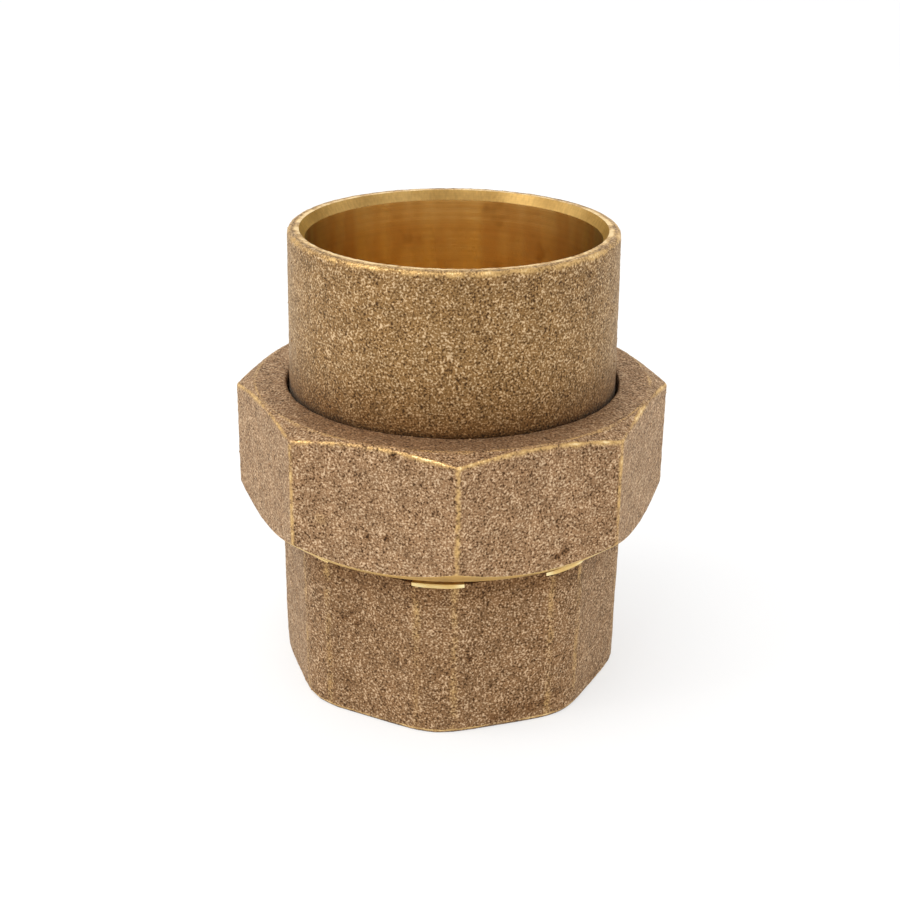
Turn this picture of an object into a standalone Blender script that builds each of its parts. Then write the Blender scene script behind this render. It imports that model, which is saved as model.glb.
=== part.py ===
"""Ground-joint pipe union in cast bronze, with a solder cup for copper tube at each end.

Three castings on one upright axis: a threaded end with an octagonal body, a tailpiece whose ball face
seals in the threaded end's cone, and an octagonal nut that pulls the two together. Units are metres, +Z
is up, and the origin is the centre of the bottom rim. Each piece is a ring of upright outlines, one for
each angle, so a turned shape, an octagon and a screw thread are all the same kind of mesh.
"""

import math

import bmesh
import bpy

MM = 0.001
TURN = 2 * math.pi

# Tube and solder cups, the same at both ends
TUBE_DIAMETER = 53.98 * MM
CUP_CLEARANCE = 0.06 * MM
CUP_DEPTH = 34.04 * MM
MOUTH_CHAMFER_DEPTH = 1.8 * MM
MOUTH_CHAMFER_WIDTH = 1.0 * MM
TUBE_STOP_WIDTH = 1.45 * MM

# Gap kept between faces that touch on the real union, and between its mating threads
FIT_GAP = 0.3 * MM

# Threaded end
BODY_WALL = 4.4 * MM
BODY_LAND_STEP = 1.34 * MM
BODY_DRAFT = math.radians(0.45)
BODY_TURNED_BY = math.radians(-94.6)
BODY_RIM_ROUND = 0.9 * MM
LAND_SKIM_WIDTH = 0.4 * MM
LAND_SKIM_HEIGHT = 0.65 * MM
NECK_INSET = 0.55 * MM
NECK_LENGTH = 1.77 * MM
TUBE_STOP_LENGTH = 7.6 * MM
SEAT_ANGLE = math.radians(45)
SEAT_LIP = 2.2 * MM

# Union thread, right-handed, with 60 degree flanks
THREAD_PITCH = 2.309 * MM
THREAD_LENGTH = 14.1 * MM
THREAD_LEAD_IN = 1.6 * MM
FLANK_ANGLE = math.radians(30)
CREST_PER_PITCH = 1 / 8
DEPTH_PER_PITCH = 0.5413

# Tailpiece
CUP_WALL = 3.15 * MM
CUP_DRAFT = math.radians(0.67)
CUP_RIM_ROUND = 1.2 * MM
COLLAR_BITE = 1.6 * MM
COLLAR_HEIGHT = 5.1 * MM
COLLAR_LIFT = 1.2 * MM
COLLAR_EDGE = 0.4 * MM
COLLAR_CLEARANCE = 0.35 * MM

# Union nut
NUT_HEIGHT = 24.8 * MM
NUT_WALL = 3.28 * MM
NUT_LIP = 4.9 * MM
NUT_SLIP = 0.52 * MM
NUT_TOP_RING = 5.68 * MM
NUT_TOP_CHAMFER = math.radians(22.8)
NUT_FOOT_WIDTH = 1.98 * MM
NUT_FOOT_CHAMFER = math.radians(38.5)
NUT_CORNER_RADIUS = 1.6 * MM
NUT_TURNED_BY = math.radians(-88.4)

# How finely round shapes are divided
SIDES = 8
TAILPIECE_COLUMNS = 60
FLAT_COLUMNS = 6
LAND_COLUMNS = 2
EDGE_STEPS = 3
BALL_STEPS = 6
WELD_DISTANCE = 0.001 * MM
SHARP_ANGLE = math.radians(25)

# Radii, from the tube outwards
cup_bore = TUBE_DIAMETER / 2 + CUP_CLEARANCE
waterway = cup_bore - TUBE_STOP_WIDTH
cup_rim = cup_bore + CUP_WALL
cup_root = cup_rim + CUP_DEPTH * math.tan(CUP_DRAFT)
nut_hole = cup_root + NUT_SLIP
collar = nut_hole + COLLAR_BITE
thread_depth = THREAD_PITCH * DEPTH_PER_PITCH
tooth_crest = THREAD_PITCH * CREST_PER_PITCH
nut_thread_crest = collar + COLLAR_CLEARANCE
nut_thread_root = nut_thread_crest + thread_depth
end_thread_root = nut_thread_crest - FIT_GAP
end_thread_crest = nut_thread_root - FIT_GAP
nut_apothem = nut_thread_root + NUT_WALL
nut_foot = nut_thread_root + NUT_FOOT_WIDTH
nut_top = nut_hole + NUT_TOP_RING
seat_mouth = end_thread_root - SEAT_LIP
body_apothem = cup_bore + BODY_WALL
body_land = body_apothem + BODY_LAND_STEP
neck = body_apothem - NECK_INSET

# Heights, from the bottom rim upwards
seat_bottom_z = CUP_DEPTH + TUBE_STOP_LENGTH
end_top_z = seat_bottom_z + (seat_mouth - waterway) / math.tan(SEAT_ANGLE)
thread_bottom_z = end_top_z - THREAD_LENGTH
ledge_z = thread_bottom_z - NECK_LENGTH
collar_bottom_z = end_top_z + COLLAR_LIFT
collar_top_z = collar_bottom_z + COLLAR_HEIGHT
rim_z = collar_top_z + CUP_DEPTH
nut_lip_z = collar_top_z + FIT_GAP
nut_top_z = nut_lip_z + NUT_LIP
nut_foot_z = nut_top_z - NUT_HEIGHT


def clear_scene():
    """Removes what the startup scene holds."""
    for item in list(bpy.data.objects):
        bpy.data.objects.remove(item, do_unlink=True)


def bronze(name, colour, roughness):
    """A metal surface of one colour."""
    material = bpy.data.materials.new(name)
    material.use_nodes = True
    shader = material.node_tree.nodes["Principled BSDF"]
    shader.inputs["Base Color"].default_value = (*colour, 1.0)
    shader.inputs["Metallic"].default_value = 1.0
    shader.inputs["Roughness"].default_value = roughness
    return material


def arc(centre, radius, first, last, steps):
    """Points (r, z) of a round edge, from one angle to another."""
    angles = [first + (last - first) * step / steps for step in range(steps + 1)]
    return [(centre[0] + radius * math.cos(a), centre[1] + radius * math.sin(a)) for a in angles]


def ring_solid(name, angles, outline_at, material):
    """One closed body. outline_at(angle) gives the closed outline of (r, z) points at that angle."""
    mesh = bmesh.new()
    columns = []
    for angle in [*angles, angles[0] + TURN]:
        across = (math.cos(angle), math.sin(angle))
        columns.append([mesh.verts.new((r * across[0], r * across[1], z)) for r, z in outline_at(angle)])
    for here, beyond in zip(columns, columns[1:]):
        for low in range(len(here)):
            high = (low + 1) % len(here)
            mesh.faces.new((here[low], beyond[low], beyond[high], here[high]))
    # A thread's last column meets its first one pitch up, and its clamped ends close to a point.
    bmesh.ops.remove_doubles(mesh, verts=mesh.verts, dist=WELD_DISTANCE)
    bmesh.ops.recalc_face_normals(mesh, faces=mesh.faces)
    data = bpy.data.meshes.new(name)
    mesh.to_mesh(data)
    mesh.free()
    data.shade_smooth()
    data.set_sharp_from_angle(angle=SHARP_ANGLE)
    data.materials.append(material)
    piece = bpy.data.objects.new(name, data)
    bpy.context.scene.collection.objects.link(piece)
    return piece


def octagon_angles(centre, edge, edge_columns):
    """Angles around an octagon: each corner's span of plus or minus edge, then the flat to the next."""
    sector = TURN / SIDES
    angles = []
    for side in range(SIDES):
        corner = centre + side * sector
        angles += [corner - edge + 2 * edge * step / edge_columns for step in range(edge_columns)]
        flat = sector - 2 * edge
        angles += [corner + edge + flat * step / FLAT_COLUMNS for step in range(FLAT_COLUMNS)]
    return angles


def from_corner(angle, centre):
    """The angle to the nearest corner of an octagon, without its sign."""
    sector = TURN / SIDES
    return abs((angle - centre + sector / 2) % sector - sector / 2)


def thread_points(angle, bottom_z, top_z, stations, end_radius):
    """Points (r, z) up a screw thread at one angle.

    The stations (z, r) are one tooth's outline, measured along the axis from the middle of the external
    tooth. Outside the thread's length the points close on its end, and over the lead-in there the tooth
    fades to end_radius.
    """
    start = end_top_z + THREAD_PITCH * angle / TURN
    lowest = math.floor((bottom_z - end_top_z) / THREAD_PITCH) - 2
    highest = math.ceil((top_z - end_top_z) / THREAD_PITCH) + 2
    points = []
    for tooth in range(lowest, highest + 1):
        for offset, radius in stations:
            height = start + tooth * THREAD_PITCH + offset
            inside = min(max(height, bottom_z), top_z)
            rise = min(1.0, (inside - bottom_z) / THREAD_LEAD_IN, (top_z - inside) / THREAD_LEAD_IN)
            points.append((end_radius + (radius - end_radius) * rise, inside))
    return points


def tooth_stations(middle_width, side_width, middle_radius, side_radius):
    """One pitch of a thread: a flat of one width and radius in the middle, with flanks down to the side's."""
    return [
        (-side_width / 2, side_radius),
        (-middle_width / 2, middle_radius),
        (middle_width / 2, middle_radius),
        (side_width / 2, side_radius),
    ]


def make_threaded_end():
    """Octagonal body, ledge, neck, external thread, cone seat, tube stop and lower cup."""
    land_edge = TURN / SIDES / 2 - math.acos(body_apothem / body_land)
    angles = octagon_angles(BODY_TURNED_BY, land_edge, LAND_COLUMNS)
    tooth_foot = tooth_crest + 2 * thread_depth * math.tan(FLANK_ANGLE)
    tooth = tooth_stations(tooth_crest, tooth_foot, end_thread_crest, end_thread_root)

    def body_radius(angle, height):
        drawn_in = (ledge_z - height) * math.tan(BODY_DRAFT)
        from_flat = TURN / SIDES / 2 - from_corner(angle, BODY_TURNED_BY)
        return min((body_apothem - drawn_in) / math.cos(from_flat), body_land - drawn_in)

    def outline(angle):
        foot = body_radius(angle, BODY_RIM_ROUND) - BODY_RIM_ROUND
        skim_z = ledge_z - LAND_SKIM_HEIGHT
        skimmed = min(body_radius(angle, ledge_z), body_land - LAND_SKIM_WIDTH)
        points = arc((foot, BODY_RIM_ROUND), BODY_RIM_ROUND, -TURN / 4, 0, EDGE_STEPS)
        points += [(body_radius(angle, skim_z), skim_z), (skimmed, ledge_z)]
        points += [(neck, ledge_z), (neck, thread_bottom_z)]
        points += thread_points(angle, thread_bottom_z, end_top_z, tooth, end_thread_root)
        points += [(seat_mouth, end_top_z)]
        points += [(waterway, seat_bottom_z), (waterway, CUP_DEPTH), (cup_bore, CUP_DEPTH)]
        points += [(cup_bore, MOUTH_CHAMFER_DEPTH), (cup_bore + MOUTH_CHAMFER_WIDTH, 0.0)]
        return points

    return ring_solid("threaded_end", angles, outline, bronze("end_bronze", (0.36, 0.22, 0.10), 0.5))


def make_cup_tailpiece():
    """Upper cup, tube stop, collar and the ball face that seals in the cone."""
    angles = [TURN * step / TAILPIECE_COLUMNS for step in range(TAILPIECE_COLUMNS)]
    contact = (waterway + seat_mouth) / 2
    contact_z = end_top_z - (seat_mouth - contact) / math.tan(SEAT_ANGLE)
    ball_centre_z = contact_z + contact * math.tan(SEAT_ANGLE)
    ball_radius = contact / math.cos(SEAT_ANGLE) - FIT_GAP
    first = -math.acos(waterway / ball_radius)
    last = -math.asin((ball_centre_z - collar_bottom_z) / ball_radius)
    ball = arc((0.0, ball_centre_z), ball_radius, first, last, BALL_STEPS)
    rim = (cup_rim - CUP_RIM_ROUND, rim_z - CUP_RIM_ROUND)

    def outline(angle):
        points = list(ball)
        points += [(collar - COLLAR_EDGE, collar_bottom_z), (collar, collar_bottom_z + COLLAR_EDGE)]
        points += [(collar, collar_top_z - COLLAR_EDGE), (collar - COLLAR_EDGE, collar_top_z)]
        points += [(cup_root, collar_top_z)]
        points += arc(rim, CUP_RIM_ROUND, CUP_DRAFT, TURN / 4, EDGE_STEPS)
        points += [(cup_bore + MOUTH_CHAMFER_WIDTH, rim_z), (cup_bore, rim_z - MOUTH_CHAMFER_DEPTH)]
        points += [(cup_bore, collar_top_z), (waterway, collar_top_z)]
        return points

    return ring_solid("cup_tailpiece", angles, outline, bronze("tailpiece_bronze", (0.38, 0.24, 0.11), 0.48))


def make_union_nut():
    """Octagonal nut: chamfered top and foot, lip, collar chamber and internal thread."""
    half_sector = TURN / SIDES / 2
    fillet = (nut_apothem - NUT_CORNER_RADIUS) / math.cos(half_sector)
    corner_edge = math.atan2(
        NUT_CORNER_RADIUS * math.sin(half_sector),
        fillet + NUT_CORNER_RADIUS * math.cos(half_sector),
    )
    angles = octagon_angles(NUT_TURNED_BY, corner_edge, LAND_COLUMNS)
    # The groove is the external tooth's outline moved out by the gap, both along the axis and across it.
    groove_floor = tooth_crest + 2 * FIT_GAP * (1 - math.tan(FLANK_ANGLE))
    groove_mouth = groove_floor + 2 * thread_depth * math.tan(FLANK_ANGLE)
    groove = tooth_stations(groove_floor, groove_mouth, nut_thread_root, nut_thread_crest)

    def nut_radius(angle):
        apart = from_corner(angle, NUT_TURNED_BY)
        if apart < corner_edge:
            reach = math.sqrt(NUT_CORNER_RADIUS**2 - (fillet * math.sin(apart)) ** 2)
            return fillet * math.cos(apart) + reach
        return nut_apothem / math.cos(half_sector - apart)

    def outline(angle):
        side = nut_radius(angle)
        low = nut_foot_z + (side - nut_foot) * math.tan(NUT_FOOT_CHAMFER)
        high = nut_top_z - (side - nut_top) * math.tan(NUT_TOP_CHAMFER)
        points = [(nut_foot, nut_foot_z), (side, low), (side, high), (nut_top, nut_top_z)]
        points += [(nut_hole, nut_top_z), (nut_hole, nut_lip_z), (nut_thread_root, nut_lip_z)]
        wall = thread_points(angle, nut_foot_z, collar_bottom_z, groove, nut_thread_root)
        return points + wall[::-1]

    return ring_solid("union_nut", angles, outline, bronze("nut_bronze", (0.35, 0.21, 0.10), 0.52))


def main():
    clear_scene()
    threaded_end = make_threaded_end()
    tailpiece = make_cup_tailpiece()
    nut = make_union_nut()
    tailpiece.parent = threaded_end
    nut.parent = tailpiece


main()
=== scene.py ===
"""Looks of a cast bronze pipe union: sand-cast skins, turned mouths, screw threads, studio and camera."""

import itertools
import logging
import math
from dataclasses import dataclass
from enum import IntEnum
from typing import Optional, Sequence, Union

import bmesh
import bpy
import numpy as np
from bpy.types import ID, Material, Mesh, Node, NodeSocket, NodeTree, Object
from mathutils import Matrix, Vector


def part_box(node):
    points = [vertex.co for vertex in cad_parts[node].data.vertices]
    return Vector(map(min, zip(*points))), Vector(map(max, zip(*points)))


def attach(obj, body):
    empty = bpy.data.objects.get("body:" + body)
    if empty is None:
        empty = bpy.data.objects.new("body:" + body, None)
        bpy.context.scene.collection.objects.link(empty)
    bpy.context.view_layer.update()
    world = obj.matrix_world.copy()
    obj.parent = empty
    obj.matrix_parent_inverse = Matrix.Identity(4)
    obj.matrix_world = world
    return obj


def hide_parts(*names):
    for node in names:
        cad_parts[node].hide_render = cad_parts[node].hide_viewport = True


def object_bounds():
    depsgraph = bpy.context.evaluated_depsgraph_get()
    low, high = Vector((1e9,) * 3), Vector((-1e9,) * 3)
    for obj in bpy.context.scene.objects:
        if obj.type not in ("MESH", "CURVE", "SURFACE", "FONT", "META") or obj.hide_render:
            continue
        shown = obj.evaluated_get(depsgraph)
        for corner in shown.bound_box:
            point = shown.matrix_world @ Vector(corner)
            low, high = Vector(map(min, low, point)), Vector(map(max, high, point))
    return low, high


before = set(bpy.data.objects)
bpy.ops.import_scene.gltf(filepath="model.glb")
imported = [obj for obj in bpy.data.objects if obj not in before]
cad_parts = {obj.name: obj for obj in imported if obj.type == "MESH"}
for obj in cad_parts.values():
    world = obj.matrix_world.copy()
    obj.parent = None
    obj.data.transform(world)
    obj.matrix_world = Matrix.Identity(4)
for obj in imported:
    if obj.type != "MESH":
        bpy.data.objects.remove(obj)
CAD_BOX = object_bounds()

LOG = logging.getLogger("pipe_union")
MM = 0.001
TURN = 2 * math.pi
SIDES = 8
SECTOR = TURN / SIDES
HALF_SECTOR = SECTOR / 2
RELIEF_CELLS = 72

# Roundings of edges: left crisp, broken with a tool, and eased.
CRISP = 0.10 * MM
BROKEN = 0.20 * MM
EASED = 0.30 * MM

Colour = tuple[float, float, float]
Place = tuple[float, float, float]
Span = tuple[float, float, float, float]
Layer = tuple[float, float]
Length = Union[float, np.ndarray]
Source = Union[NodeSocket, float, int, bool, str, tuple, Material]
Feeds = dict[Union[str, int], Source]


class Surface(IntEnum):
    """Finish of a stretch of a casting's skin: as cast, turned, a cup mouth in painted shade, or a fresh
    bright cut.
    """

    CAST = 0
    TURNED = 1
    MOUTH = 2
    FRESH = 3


def add_object(name: str, data: ID) -> Object:
    """Put new data into the scene, at the origin.

    Args:
        name: the object's name.
        data: its mesh, lamp or camera.

    Returns:
        The object.
    """
    made = bpy.data.objects.new(name, data)
    bpy.context.scene.collection.objects.link(made)
    return made


def bell(far: np.ndarray) -> np.ndarray:
    """Fall smoothly from 1 at a distance of 0 to nearly 0 at 2."""
    return np.exp(-(far**2))


class NodeSketch:
    """Short calls that add and join the nodes of one tree."""

    def __init__(self, tree: NodeTree) -> None:
        """Keep the tree that the calls work on."""
        self.tree = tree

    def feed(self, node: Node, feeds: Feeds) -> None:
        """Give a node's inputs their sources.

        Args:
            node: the node.
            feeds: for an input's name or number, an output to join to it or the input's own value.
        """
        for key, value in feeds.items():
            socket = node.inputs[key]
            if isinstance(value, NodeSocket):
                self.tree.links.new(value, socket)
            else:
                socket.default_value = (*value, 1.0) if socket.type == "RGBA" else value

    def add(self, kind: str, feeds: Optional[Feeds] = None, **settings: object) -> Node:
        """Add one node.

        Args:
            kind: Blender's name of the node.
            feeds: the sources of its inputs.
            settings: the node's own options.

        Returns:
            The new node.
        """
        node = self.tree.nodes.new(kind)
        for name, value in settings.items():
            setattr(node, name, value)
        self.feed(node, feeds or {})
        return node

    def maths(self, operation: str, *values: Source) -> NodeSocket:
        """Work out a number from its terms."""
        return self.add("ShaderNodeMath", dict(enumerate(values)), operation=operation).outputs[0]

    def vector(self, x: Source, y: Source, z: Source) -> NodeSocket:
        """Put three numbers together."""
        return self.add("ShaderNodeCombineXYZ", {"X": x, "Y": y, "Z": z}).outputs[0]


class ShaderSketch(NodeSketch):
    """A new material's node tree, with the nodes that the finishes share."""

    # The Mix node's sockets for its share and its two colours, and for the mixed colour.
    MIX_INPUTS = (0, 6, 7)
    MIX_OUTPUT = 2

    def __init__(self, name: str) -> None:
        """Start a material with its surface shader.

        Args:
            name: the material's name.
        """
        self.material = bpy.data.materials.new(name)
        self.material.use_nodes = True
        super().__init__(self.material.node_tree)
        self.surface = self.tree.nodes["Principled BSDF"]

    def place(self) -> NodeSocket:
        """Read the place on the piece."""
        return self.add("ShaderNodeTexCoord").outputs["Object"]

    def attribute(self, name: str) -> NodeSocket:
        """Read a number kept on the mesh."""
        return self.add("ShaderNodeAttribute", attribute_name=name).outputs["Fac"]

    def noise(self, place: Source, size: float, detail: float = 2.0, rough: float = 0.5) -> NodeSocket:
        """Add soft random blotches of a size in metres, with finer layers of some strength."""
        feeds = {"Vector": place, "Scale": 1.0 / size, "Detail": detail, "Roughness": rough}
        return self.add("ShaderNodeTexNoise", feeds).outputs["Fac"]

    def spread(self, value: Source, span: Span) -> NodeSocket:
        """Stretch a value smoothly: a span gives its lowest, its highest and the results there."""
        feeds = dict(enumerate((value, *span)))
        return self.add("ShaderNodeMapRange", feeds, interpolation_type="SMOOTHSTEP").outputs[0]

    def mix(self, share: Source, one: Source, other: Source, blend: str = "MIX") -> NodeSocket:
        """Mix a share of another colour into one."""
        feeds = dict(zip(self.MIX_INPUTS, (share, one, other)))
        return self.add("ShaderNodeMix", feeds, data_type="RGBA", blend_type=blend).outputs[self.MIX_OUTPUT]

    def shade(self, colour: Source, tone: Source) -> NodeSocket:
        """Darken or lighten a colour by a tone."""
        return self.mix(1.0, colour, self.vector(tone, tone, tone), "MULTIPLY")

    def bump(self, height: Source, depth: float) -> None:
        """Raise the surface by a pattern, whose 1 stands a depth in metres above its 0."""
        node = self.add("ShaderNodeBump", {"Distance": depth, "Height": height})
        self.feed(self.surface, {"Normal": node.outputs["Normal"]})


@dataclass(frozen=True)
class CastBronze:
    """Sand-cast bronze: a brown skin with golden grains, dark pits and edges worn bright.

    Each span turns a pattern into a share of its colour, or into a tone or roughness.
    """

    name: str
    skin: Colour = (0.295, 0.162, 0.056)
    pit: Colour = (0.060, 0.024, 0.006)
    grain: Colour = (0.75, 0.54, 0.34)
    stain: Colour = (0.20, 0.110, 0.050)
    worn: Colour = (0.70, 0.445, 0.175)
    polished: Colour = (0.98, 0.76, 0.42)
    # Colour multiplied in for painted shade, and for dirt at blemishes.
    shade_and_grime: Colour = (0.68, 0.60, 0.50)
    haze: Colour = (1.0, 0.88, 0.70)
    grazing: Colour = (1.0, 0.92, 0.78)
    grain_size: float = 0.36 * MM
    mottle_size: float = 2.6 * MM
    stain_size: float = 13.0 * MM
    relief: float = 0.18 * MM
    relief_share: float = 0.10
    shade_and_grime_layers: int = 3
    dust: float = 0.07
    dust_roughness: float = 0.5
    stain_span: Span = (0.55, 0.75, 0.0, 0.35)
    grain_span: Span = (0.52, 0.72, 0.0, 1.0)
    grain_share: float = 0.9
    pit_span: Span = (0.28, 0.47, 1.0, 0.0)
    pit_share: float = 0.95
    tone_span: Span = (0.30, 0.70, 0.90, 1.10)
    shade_and_grime_span: Span = (0.2, 0.8, 0.8, 1.2)
    worn_span: Span = (0.45, 1.15, 0.0, 1.0)
    worn_speckle: float = 0.55
    worn_gloss: float = 0.14
    polish_span: Span = (0.95, 1.40, 0.0, 1.0)
    metal_span: Span = (0.0, 1.0, 0.75, 1.0)
    rough_span: Span = (0.30, 0.72, 0.64, 0.42)

    def material(self) -> Material:
        """Make the finish.

        Returns:
            The material.
        """
        sketch = ShaderSketch(self.name)
        place = sketch.place()
        grain = sketch.noise(place, self.grain_size, detail=1.0)
        mottle = sketch.noise(place, self.mottle_size, detail=3.0)
        patch = sketch.noise(place, self.stain_size, detail=4.0, rough=0.6)
        raised = sketch.maths("MULTIPLY", sketch.attribute("relief"), self.relief_share)
        height = sketch.maths("ADD", grain, raised)
        bright = sketch.maths("MULTIPLY", sketch.spread(height, self.grain_span), self.grain_share)
        dark = sketch.maths("MULTIPLY", sketch.spread(height, self.pit_span), self.pit_share)
        colour = sketch.mix(sketch.spread(patch, self.stain_span), self.skin, self.stain)
        colour = sketch.mix(bright, colour, self.grain)
        colour = sketch.mix(dark, colour, self.pit)
        colour = sketch.shade(colour, sketch.spread(mottle, self.tone_span))
        # Painted shade: the mesh's darkening number, made uneven by the mottle, multiplies the colour by
        # the darkening colour up to three times. It paints shade in gaps, recesses and under the nut, and
        # dirt at blemishes.
        uneven = sketch.spread(mottle, self.shade_and_grime_span)
        shade_and_grime = sketch.maths("MULTIPLY", sketch.attribute("shade_and_grime"), uneven)
        for layer in range(self.shade_and_grime_layers):
            darkened_share = sketch.maths("SUBTRACT", shade_and_grime, float(layer))
            colour = sketch.mix(darkened_share, colour, sketch.mix(1.0, colour, self.shade_and_grime, "MULTIPLY"))
        speckle = sketch.maths("MULTIPLY", grain, self.worn_speckle)
        rubbed = sketch.maths("ADD", sketch.attribute("worn"), speckle)
        bare = sketch.spread(rubbed, self.worn_span)
        colour = sketch.mix(bare, colour, self.worn)
        colour = sketch.mix(sketch.spread(rubbed, self.polish_span), colour, self.polished)
        coarse = sketch.spread(height, self.rough_span)
        smoother = sketch.maths("MULTIPLY", bare, self.worn_gloss)
        feeds = {
            "Base Color": colour,
            "Metallic": sketch.spread(bare, self.metal_span),
            "Roughness": sketch.maths("SUBTRACT", coarse, smoother),
            "Specular Tint": self.grazing,
            "Sheen Weight": self.dust,
            "Sheen Roughness": self.dust_roughness,
            "Sheen Tint": self.haze,
        }
        sketch.feed(sketch.surface, feeds)
        sketch.bump(grain, self.relief)
        return sketch.material


@dataclass(frozen=True)
class TurnedBronze:
    """Turned bronze: gold with fine tool rings around the axis and soft brown stains.

    Each span turns a pattern into a share of its colour, or into a tone or roughness. Streaks and chatter
    marks are drawn out along the axis.
    """

    name: str
    metal: Colour = (0.96, 0.715, 0.275)
    stain: Colour = (0.77, 0.480, 0.148)
    smudge: Colour = (0.42, 0.22, 0.05)
    grazing: Colour = (0.34, 0.33, 0.34)
    rough_span: Span = (0.30, 0.70, 0.33, 0.29)
    ring_size: float = 0.13 * MM
    ring_span: Span = (0.25, 0.75, 0.95, 1.04)
    rings_in_band: float = 9.0
    band_span: Span = (0.25, 0.75, 0.96, 1.03)
    streak_size: float = 3.2 * MM
    stain_size: float = 6.0 * MM
    stain_share: float = 0.5
    stain_span: Span = (-0.48, 0.0, 0.0, 0.95)
    smudge_span: Span = (0.62, 0.76, 0.0, 0.4)
    relief: float = 0.030 * MM
    chatter: float = 0.0
    chatter_size: float = 0.40 * MM
    drawn_out: float = 0.03

    def material(self) -> Material:
        """Make the finish.

        Returns:
            The material.
        """
        sketch = ShaderSketch(self.name)
        place = sketch.place()
        x, y, z = sketch.add("ShaderNodeSeparateXYZ", {0: place}).outputs
        flat = sketch.vector(x, y, 0.0)
        across = sketch.add("ShaderNodeVectorMath", {0: flat}, operation="LENGTH").outputs["Value"]
        turned = sketch.vector(across, z, 0.0)
        drawn = sketch.vector(x, y, sketch.maths("MULTIPLY", z, self.drawn_out))
        rings = sketch.noise(turned, self.ring_size)
        bands = sketch.noise(turned, self.rings_in_band * self.ring_size)
        patch = sketch.noise(place, self.stain_size)
        streaks = sketch.noise(drawn, self.streak_size, detail=0.0)
        hatched = sketch.noise(drawn, self.chatter_size, detail=0.0)
        marked = sketch.maths("MULTIPLY", patch, self.stain_share)
        stained = sketch.spread(sketch.maths("SUBTRACT", marked, streaks), self.stain_span)
        colour = sketch.mix(stained, self.metal, self.stain)
        colour = sketch.mix(sketch.spread(patch, self.smudge_span), colour, self.smudge)
        tone = sketch.maths("MULTIPLY_ADD", hatched, self.chatter, 1.0 - self.chatter / 2)
        tone = sketch.maths("MULTIPLY", tone, sketch.spread(rings, self.ring_span))
        tone = sketch.maths("MULTIPLY", tone, sketch.spread(bands, self.band_span))
        feeds = {
            "Base Color": sketch.shade(colour, tone),
            "Metallic": 1.0,
            "Roughness": sketch.spread(streaks, self.rough_span),
            "Specular Tint": self.grazing,
        }
        sketch.feed(sketch.surface, feeds)
        sketch.bump(rings, self.relief)
        return sketch.material


Finish = Union[CastBronze, TurnedBronze]


def shaded_mouth(name: str) -> TurnedBronze:
    """Choose a darker copy of the turned finish for a cup's mouth, as painted shade."""
    return TurnedBronze(
        name, metal=(0.56, 0.355, 0.120), stain=(0.41, 0.250, 0.076), grazing=(0.10, 0.10, 0.10),
        rough_span=(0.30, 0.70, 0.66, 0.52), streak_size=11.0 * MM, chatter=0.35,
    )


def fresh_cut(name: str, metal: Colour = (0.98, 0.74, 0.31)) -> TurnedBronze:
    """Choose the brighter finish of a fresh cut."""
    return TurnedBronze(
        name, metal=metal, stain=(0.90, 0.62, 0.23), grazing=(1.0, 1.0, 1.0),
        rough_span=(0.30, 0.70, 0.50, 0.38),
    )


def cast_relief(points: np.ndarray, seed: int, cell: float, height: float) -> np.ndarray:
    """Read smooth random relief in space, the same on each run.

    Args:
        points: the places.
        seed: seed of the random draw.
        cell: width in metres of one cell of the relief.
        height: how far the relief reaches either way.

    Returns:
        The relief at each place.
    """
    corners = np.random.default_rng(seed).uniform(-1.0, 1.0, (RELIEF_CELLS,) * 3)
    scaled = points / cell
    base = np.floor(scaled).astype(int)
    part = scaled - base
    part = part * part * (3.0 - 2.0 * part)
    total = np.zeros(points.shape[:-1])
    for step in itertools.product((0, 1), repeat=3):
        share = np.prod(np.where(step, part, 1.0 - part), axis=-1)
        total += share * corners[tuple(np.moveaxis((base + step) % RELIEF_CELLS, -1, 0))]
    return total * height


@dataclass(frozen=True)
class Bend:
    """One corner of a casting's upright outline, and the run from it to the next corner.

    The radius and the height may differ from column to column around the axis. The rounding is the
    corner's own radius, and rows is how many rows of faces the run has. From 0, worn says how far handling
    has rubbed the corner bright, and its darkening number how far painted shade darkens the run, in a gap,
    a recess or under the nut. Only limits the run's surface to some columns.
    """

    radius: Length
    height: Length
    rounding: float
    rows: int
    surface: Surface
    worn: float = 0.0
    shade_and_grime: float = 0.0
    only: Optional[np.ndarray] = None

    def surface_row(self, columns: int) -> np.ndarray:
        """Say which surface each column has on the run: cast outside the columns it is limited to."""
        row = np.full(columns, int(self.surface))
        return row if self.only is None else np.where(self.only, row, int(Surface.CAST))


@dataclass(frozen=True)
class Blemish:
    """A spot on a casting, in degrees and millimetres: a pit, a lump, a stain or a rubbed patch.

    A lump's depth is negative.
    """

    azimuth: float
    height: float
    reach: float
    depth: float = 0.0
    shade_and_grime: float = 0.0
    worn: float = 0.0


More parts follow.
